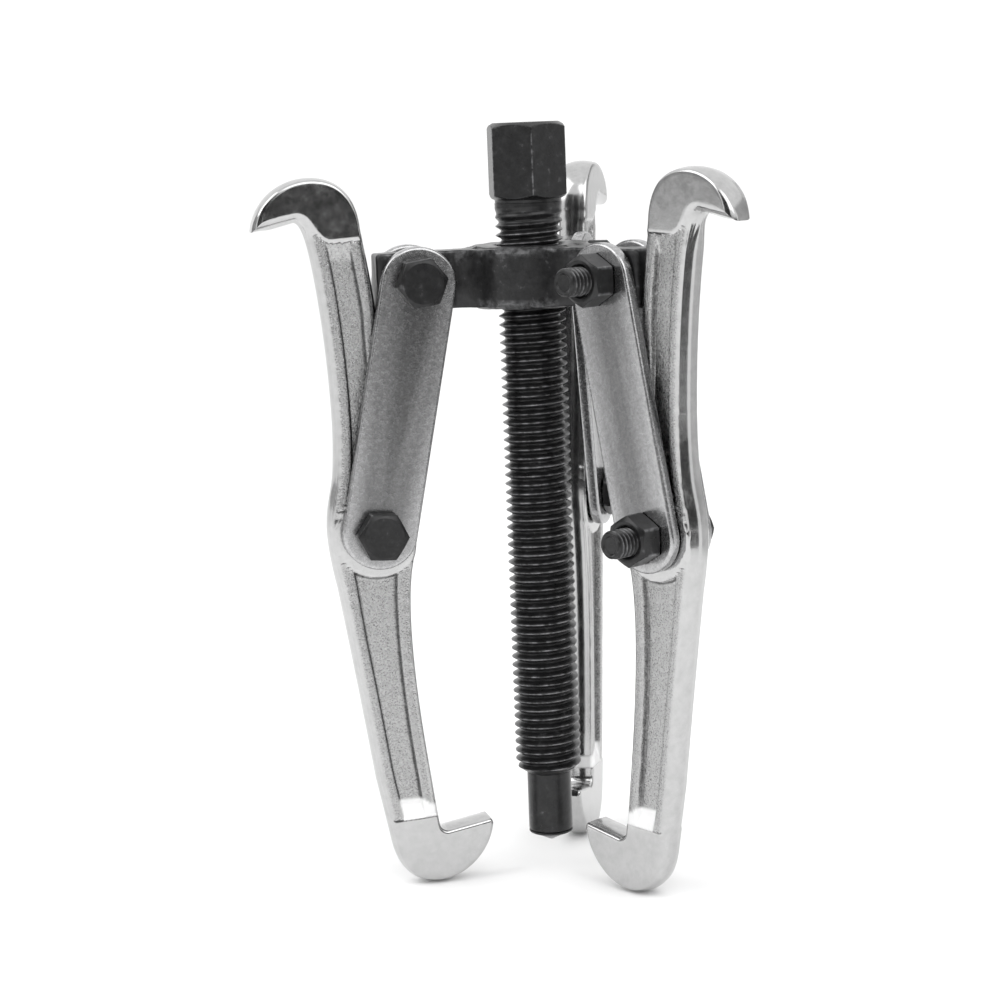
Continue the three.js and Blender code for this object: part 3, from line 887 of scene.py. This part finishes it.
class Nodes:
    """Short names for a material's nodes."""

    def __init__(self, name):
        self.material = bpy.data.materials.new(name)
        self.material.use_nodes = True
        self.tree = self.material.node_tree
        self.shader = self.tree.nodes["Principled BSDF"]

    def wire(self, value, socket):
        """Links a node's output to a socket, or sets the socket to a constant."""
        if isinstance(value, bpy.types.NodeSocket):
            self.tree.links.new(value, socket)
        else:
            socket.default_value = value

    def add(self, kind, output, inputs, **settings):
        """An output of a new node, whose inputs are links or constants."""
        node = self.tree.nodes.new("ShaderNode" + kind)
        for key, value in settings.items():
            setattr(node, key, value)
        for key, value in inputs.items():
            self.wire(value, node.inputs[key])
        return node.outputs[output]

    def attribute(self, name, output="Fac"):
        return self.add("Attribute", output, {}, attribute_name=name)

    def place(self):
        """Position in the object's own space, in metres."""
        return self.add("TexCoord", "Object", {})

    def stretch(self, vector, scale):
        return self.add("Mapping", "Vector", {"Scale": scale, "Vector": vector})

    def noise(self, vector, scale, detail=3.0, roughness=0.55, distortion=0.0):
        """Smooth noise whose spots are about 1/scale of the vector's unit across."""
        return self.add("TexNoise", "Fac", {
            "Scale": scale, "Detail": detail, "Roughness": roughness, "Distortion": distortion,
            "Vector": vector,
        })

    def ramp(self, value, low, high, start=0.0, end=1.0):
        """Maps low..high onto start..end, and holds it there."""
        return self.add("MapRange", "Result", {
            "Value": value, "From Min": low, "From Max": high, "To Min": start, "To Max": end,
        })

    def math(self, kind, a, b=0.0):
        return self.add("Math", "Value", {0: a, 1: b}, operation=kind)

    def mix(self, share, a, b):
        """A number between a and b."""
        return self.add("Mix", "Result", {"Factor": share, "A": a, "B": b}, data_type="FLOAT")

    def grey(self, value, tint=(1.0, 1.0, 1.0)):
        """A grey of the value given, times a tint."""
        return self.add("CombineColor", "Color", {
            name: self.math("MULTIPLY", value, share)
            for name, share in zip(("Red", "Green", "Blue"), tint)
        })

    def bump(self, height, distance, strength, **normal):
        """A bump's normal, on top of another one if that is given as Normal."""
        inputs = {"Distance": distance, "Strength": strength, "Height": height, **normal}
        return self.add("Bump", "Normal", inputs)

    def finish(self, color, roughness, metallic, **others):
        """Links the shader's sockets, or sets them to constants."""
        inputs = {"Base Color": color, "Roughness": roughness, "Metallic": metallic, **others}
        for key, value in inputs.items():
            self.wire(value, self.shader.inputs[key.replace("_", " ")])
        return self.material


# Materials are greys between two levels, and roughness between two. A name that ends in _from
# says which part of a noise counts. MIDDLE and HALF are most of the range that a noise has.
MIDDLE = (0.3, 0.7)
HALF = (0.25, 0.75)
BLACK = Named(
    base=(0.011, 0.022), blotch_from=(0.45, 0.8), blotch=0.016, specks_from=(0.64, 0.80),
    specks=0.07, worn_from=(0.40, 0.66), bare=0.40, rough=(0.24, 0.38), tint=(1.0, 1.0, 1.03),
    metallic=0.5, specular=0.55,
)
ZINC = Named(
    base=(0.28, 0.56), cloud=(-0.02, 0.02), brushed=(-0.02, 0.02), along=(1.0, 1.0, 0.06),
    halo=0.45, ring=0.16, rough=(0.22, 0.30), tint=(1.0, 1.0, 1.01),
)
CHROME = Named(
    polished=(0.45, 0.54), forged=(0.33, 0.54), pits_from=(0.60, 0.70), pits=(0.35, 0.8),
    chips_from=(0.5, 0.62), pit=0.32, crease_from=(0.3, 0.6, 0.55, 1.0),
    crease=(0.15, 0.95, 1.0, 0.4), ramp=0.95, ramp_rough=0.6, scratch_along=(60, 60, 900),
    scratch_rough=(0.06, 0.10), polish_rough=(0.03, 0.14), forged_rough=(0.22, 0.34), dent=0.8,
    pit_depth=0.5,
)
FLOOR = Named(base=(0.93, 0.95), rough=0.7, half=6.0, gap=0.0003)


def black_oxide():
    """Blackened steel: cloudy, blotched and specked, with bare metal where it is worn."""
    m = BLACK
    n = Nodes("black_oxide")
    place = n.place()
    cloud = n.noise(place, 180, 4)
    grain = n.noise(place, 1500, 3, 0.6)
    blotch = n.noise(place, 420, 5, 0.65)
    specks = n.ramp(n.noise(place, 420, 4, 0.6), *m.specks_from)
    base = n.mix(cloud, *m.base)
    base = n.math("ADD", base, n.ramp(blotch, *m.blotch_from, 0.0, m.blotch))
    base = n.math("ADD", base, n.math("MULTIPLY", specks, m.specks))
    worn = n.math("MULTIPLY", n.attribute("wear"), n.ramp(blotch, *m.worn_from))
    base = n.mix(worn, base, m.bare)
    rough = n.math("ADD", n.mix(blotch, *m.rough), n.ramp(grain, *MIDDLE, -0.03, 0.03))
    normal = n.bump(grain, 0.00002, 0.7, Normal=n.bump(blotch, 0.00008, 0.5))
    color = n.grey(base, m.tint)
    return n.finish(color, rough, m.metallic, Normal=normal, Specular_IOR_Level=m.specular)


def zinc_plate():
    """Dull zinc plating: finely mottled, faintly brushed along the bar, with painted shade near the
    bolts.
    """
    m = ZINC
    n = Nodes("zinc_plate")
    place = n.place()
    local = n.attribute("part_mm", "Vector")
    brushed = n.noise(n.stretch(local, m.along), 3.0, 4, 0.6)
    mottle = n.noise(place, 900, 5, 0.75)
    cloud = n.noise(place, 60, 3)
    base = n.math("ADD", n.ramp(mottle, *HALF, *m.base), n.ramp(cloud, *MIDDLE, *m.cloud))
    base = n.math("ADD", base, n.ramp(brushed, *MIDDLE, *m.brushed))
    # Painted shade: darker in a ring just outside each bolt head and nut.
    base = n.math("MULTIPLY", base, n.ramp(n.attribute("halo"), 0.0, 1.0, 1.0, m.halo))
    base = n.math("ADD", base, n.math("MULTIPLY", n.attribute("ring"), m.ring))
    rough = n.ramp(mottle, *HALF, *m.rough)
    normal = n.bump(mottle, 0.00005, 0.45, Normal=n.bump(brushed, 0.00002, 0.4))
    return n.finish(n.grey(base, m.tint), rough, 1.0, Normal=normal)


def chrome_forging():
    """Chrome on a forging: bright on ground faces and rims, pebbled and pitted where it is raw, with
    painted shade in the pockets' creases and a painted near-white reflection on the lower ramp.
    """
    m = CHROME
    n = Nodes("chrome_forging")
    place = n.place()
    rough_zone = n.attribute("rough")
    pocket = n.attribute("pocket")
    pebble = n.noise(place, 1900, 3, 0.6)
    dent = n.noise(place, 520, 3, 0.6)
    pits = n.ramp(n.noise(place, 900, 4, 0.75, 0.3), *m.pits_from)
    scratch = n.noise(n.stretch(place, m.scratch_along), 6, 2, 0.6)
    pitted = n.math("MULTIPLY", pits, n.math("MULTIPLY", rough_zone, n.mix(pocket, *m.pits)))
    chips = n.ramp(n.noise(place, 800, 4, 0.7), *m.chips_from)
    chipped = n.math("MULTIPLY", n.attribute("chips"), chips)
    polish = n.noise(place, 330, 5, 0.7)
    forging = n.ramp(pebble, *MIDDLE, *m.forged)
    base = n.mix(rough_zone, n.ramp(polish, *MIDDLE, *m.polished), forging)
    base = n.mix(n.math("MAXIMUM", pitted, chipped), base, m.pit)
    # Painted shade in the pockets' creases: the base colour is darkened there.
    shaded_crease = n.math("MULTIPLY", n.attribute("crease"), n.ramp(dent, *m.crease_from))
    base = n.math("MULTIPLY", base, n.ramp(shaded_crease, *m.crease))
    # Painted reflection: on the ramp the base colour goes near white, as the white above would show in
    # it.
    base = n.mix(n.attribute("ramp"), base, m.ramp)
    uneven = n.ramp(polish, *MIDDLE, *m.polish_rough)
    ground = n.math("ADD", n.mix(scratch, *m.scratch_rough), uneven)
    rough = n.mix(rough_zone, ground, n.mix(pebble, *m.forged_rough))
    rough = n.mix(n.attribute("ramp"), rough, m.ramp_rough)
    height = n.math("ADD", pebble, n.math("MULTIPLY", dent, m.dent))
    height = n.math("SUBTRACT", height, n.math("MULTIPLY", pitted, m.pit_depth))
    height = n.math("MULTIPLY", height, rough_zone)
    normal = n.bump(height, 0.00018, 1.0, Normal=n.bump(polish, 0.00003, 0.5))
    return n.finish(n.grey(base), rough, 1.0, Normal=normal)


def floor_material():
    """Pale, very faintly clouded."""
    n = Nodes("pale_floor")
    cloud = n.noise(n.place(), 3, 2)
    return n.finish(n.grey(n.mix(cloud, *FLOOR.base)), FLOOR.rough, 0.0)


# ---- studio

def screen(name, start, end, low, high, material):
    """A curved screen between two directions from the object, seen only in its gloss.

    Its lower and upper edges are each given as (distance from the object's axis, height).
    """
    angles = np.radians(np.linspace(start, end, 25))
    points = [[reach * math.cos(a), reach * math.sin(a), z] for reach, z in (low, high) for a in angles]
    mesh = build_mesh(name, points, grid_faces(2, len(angles)))
    mesh.materials.append(material)
    card = new_object(name, mesh)
    card.visible_camera = False
    card.visible_shadow = False
    card.visible_diffuse = False


WORLD_LIGHT = 1.12
CARD = Named(heights=(0.02, 0.22), uneven=(0.85, 1.15), rough=0.9)
BOARD_RISE = 0.002
LIT_POINT = (0, 0, 0.1)


def card_material(name, level, foot):
    """A card whose grey runs from one level at its foot, next to the floor, to another."""
    n = Nodes(name)
    height = n.add("SeparateXYZ", "Z", {"Vector": n.place()})
    rise = n.ramp(height, *CARD.heights, foot, level)
    uneven = n.ramp(n.noise(n.place(), 2, 2), *MIDDLE, *CARD.uneven)
    rise = n.math("MULTIPLY", rise, uneven)
    return n.finish(n.grey(rise), CARD.rough, 0.0, Specular_IOR_Level=0.0)


def area_light(name, place, target, size, watts):
    """A soft rectangular light that faces a point."""
    data = bpy.data.lights.new(name, "AREA")
    data.shape = "RECTANGLE"
    data.size, data.size_y = size
    data.energy = watts
    light = new_object(name, data)
    light.location = place
    light.rotation_euler = (Vector(target) - Vector(place)).to_track_quat("-Z", "Y").to_euler()


def make_world():
    scene = bpy.context.scene
    scene.view_settings.view_transform = "Standard"
    world = bpy.data.worlds.new("studio")
    world.use_nodes = True
    background = world.node_tree.nodes["Background"]
    background.inputs["Color"].default_value = (1.0, 1.0, 1.0, 1.0)
    background.inputs["Strength"].default_value = WORLD_LIGHT
    scene.world = world


def make_floor(height):
    shape = bmesh.new()
    bmesh.ops.create_grid(shape, x_segments=8, y_segments=8, size=FLOOR.half)
    mesh = bpy.data.meshes.new("floor")
    shape.to_mesh(mesh)
    shape.free()
    mesh.materials.append(floor_material())
    floor = new_object("floor", mesh)
    floor.location.z = height


def make_studio(lowest):
    """White surroundings, a floor, two soft lights, and cards that give the gloss its dark bands."""
    make_world()
    make_floor(lowest)
    dark = card_material("dark_card", 0.03, 0.07)
    left = card_material("left_card", 0.30, 0.36)
    right = card_material("right_card", 0.40, 0.6)
    board = lowest + BOARD_RISE
    screen("flag_front", -127, -66, (1.1, lowest + 0.15), (1.1, 0.85), dark)
    screen("flag_beside", -66, -5, (1.0, lowest), (1.0, 0.34), dark)
    screen("flag_left", -215, -140, (1.2, lowest + 0.12), (1.2, 0.6), left)
    screen("flag_right", 13, 75, (1.2, lowest), (1.2, 0.75), right)
    screen("dark_board", -36, -5, (0.38, board), (0.86, board), dark)
    screen("grey_board", 13, 62, (0.36, board), (1.2, board), right)
    area_light("key", (-0.7, -0.5, 0.9), LIT_POINT, (0.8, 0.8), 4)
    area_light("fill", (0.62, -0.62, 0.85), LIT_POINT, (1.1, 0.8), 4.5)


# ---- the object

ALONG_BOLT = Matrix.Rotation(-math.pi / 2, 4, "X")


def arm_frame(joint):
    """Placing for pieces drawn as [outward, across, up] from a joint, and the arm's direction."""
    across = -Vector(joint["axis"])
    outward = Vector((across.y, -across.x, 0))
    turned = Matrix((
        (outward.x, across.x, 0, 0), (outward.y, across.y, 0, 0), (0, 0, 1, 0), (0, 0, 0, 1),
    ))
    placing = Matrix.Translation(joint["pos_m"]) @ turned @ ROW_FRAME
    return placing, math.atan2(outward.y, outward.x)


def wear_on_screw(local):
    """Bare metal on the thread's crests and the head's corners."""
    s, w = SCREW, WEAR_AND_SHADE
    radius, height = np.hypot(local[:, 0], local[:, 1]), local[:, 2]
    on_thread = smooth_past(-height, -s.run_out, w.run_out) * (height > s.dog_top)
    crest = smooth_past(radius, s.major / 2, w.crest) * on_thread
    corner = s.across_flats / math.sqrt(3)
    edges = BARE.head * smooth_past(radius, corner, w.screw_corner) * (height > s.neck_top)
    return {"wear": np.maximum(BARE.crest * crest, edges)}


def wear_on_hexagon(local):
    """Bare metal on a bolt's thread and on the corners of its head or of a nut."""
    radius = np.hypot(local[:, 0], local[:, 1])
    major, corner = BOLT.major / 2, BOLT.across_flats / math.sqrt(3)
    thread = smooth_past(radius, major, WEAR_AND_SHADE.thread)
    thread = thread * (radius < major + WEAR_AND_SHADE.thread_clearance)
    edge = smooth_past(radius, corner, WEAR_AND_SHADE.corner)
    return {"wear": BARE.fastener * np.maximum(edge, thread)}


def wear_on_point(local):
    return {"wear": 1 - smooth(local[:, 2], *WEAR_AND_SHADE.tip)}


def wear_on_yoke(local):
    """Bare edges round the screw's bore, and on the hub's rims and the lugs' top edges."""
    w = WEAR_AND_SHADE
    radius, height = np.hypot(local[:, 0], local[:, 1]), local[:, 2]
    top, low = YOKE.hub_top, YOKE.hub_bottom
    mouth = (1 - smooth(radius, *w.mouth)) * smooth_past(height, top, w.mouth_height)
    rims = smooth(radius, *w.rim_in) * (1 - smooth(radius, *w.rim_out))
    at_top, at_low = smooth_past(height, top, w.rim_top), smooth_past(-height, -low, w.rim_low)
    rims = rims * np.maximum(at_top, at_low)
    edge = 1 - smooth(np.abs(height - YOKE.lug_top + w.lug_drop), *w.lug_edge)
    rims = np.maximum(rims, edge * smooth(radius, *w.lug_from))
    return {"wear": np.maximum(BARE.mouth * mouth, BARE.yoke * rims)}


def ring_and_shade_on_link(local):
    """The ring that the upper bolt's head has left, and painted shade round both bolts' heads and nuts.
    """
    upper = np.hypot(local[:, 0], local[:, 2])
    lower = np.hypot(local[:, 0], local[:, 2] + SPAN)
    ring = 1 - smooth(np.abs(upper - WEAR_AND_SHADE.ring_radius), *WEAR_AND_SHADE.ring)
    # Painted shade just outside the heads and nuts, where they shade the link's outer face.
    halo = 1 - smooth(np.minimum(upper, lower), *WEAR_AND_SHADE.halo)
    outside = np.abs(local[:, 1]) > JAW_HALF + GAP + LINK.thickness / 2
    return {"ring": ring, "halo": halo * outside}


def make_puller():
    """Every piece, in its CAD node's place and on its body. A finish is a slot and its material."""
    black = ("black_oxide", black_oxide())
    zinc = ("zinc_plate", zinc_plate())
    chrome = ("chrome_forging", chrome_forging())
    piece("forcing_screw", forcing_screw_mesh(), ROW_FRAME, "forcing_screw", black, 26, wear_on_screw)
    piece("centre_point", centre_point_mesh(), ROW_FRAME, "centre_point", black, 26, wear_on_point)
    frames = {arm: (arm_frame(JOINTS[f"link_swing_{arm}"]), arm_frame(JOINTS[f"jaw_swing_{arm}"]))
              for arm in ARMS}
    level = Matrix.Translation((0, 0, UPPER_HEIGHT * MM)) @ ROW_FRAME
    yoke = yoke_mesh([frames[arm][0][1] for arm in ARMS])
    piece("yoke", yoke, level, "yoke", black, 28, wear_on_yoke)
    for arm in ARMS:
        (upper, _), (lower, _) = frames[arm]
        links = f"link_pair_{arm}"
        swing = upper @ Matrix.Rotation(-LEAN, 4, "Y")
        for side, word in ((1, "head"), (-1, "nut")):
            link = link_mesh(SPAN, side)
            piece(f"{word}_side_link_{arm}", link, swing, links, zinc, 32, ring_and_shade_on_link)
        for word, pivot in (("upper", upper), ("lower", lower)):
            placing = pivot @ ALONG_BOLT
            bolt, nut = bolt_mesh(HEAD_TURN[word]), nut_mesh(NUT_TURN)
            piece(f"{word}_bolt_{arm}", bolt, placing, links, black, 25, wear_on_hexagon)
            piece(f"{word}_nut_{arm}", nut, placing, links, black, 25, wear_on_hexagon)
        piece(f"jaw_{arm}", jaw_mesh(arm), lower, f"jaw_{arm}", chrome, 38, jaw_paints)


make_camera()
make_puller()
VISUAL_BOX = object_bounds()
make_studio(min(CAD_BOX[0][2], VISUAL_BOX[0][2]) - FLOOR.gap)
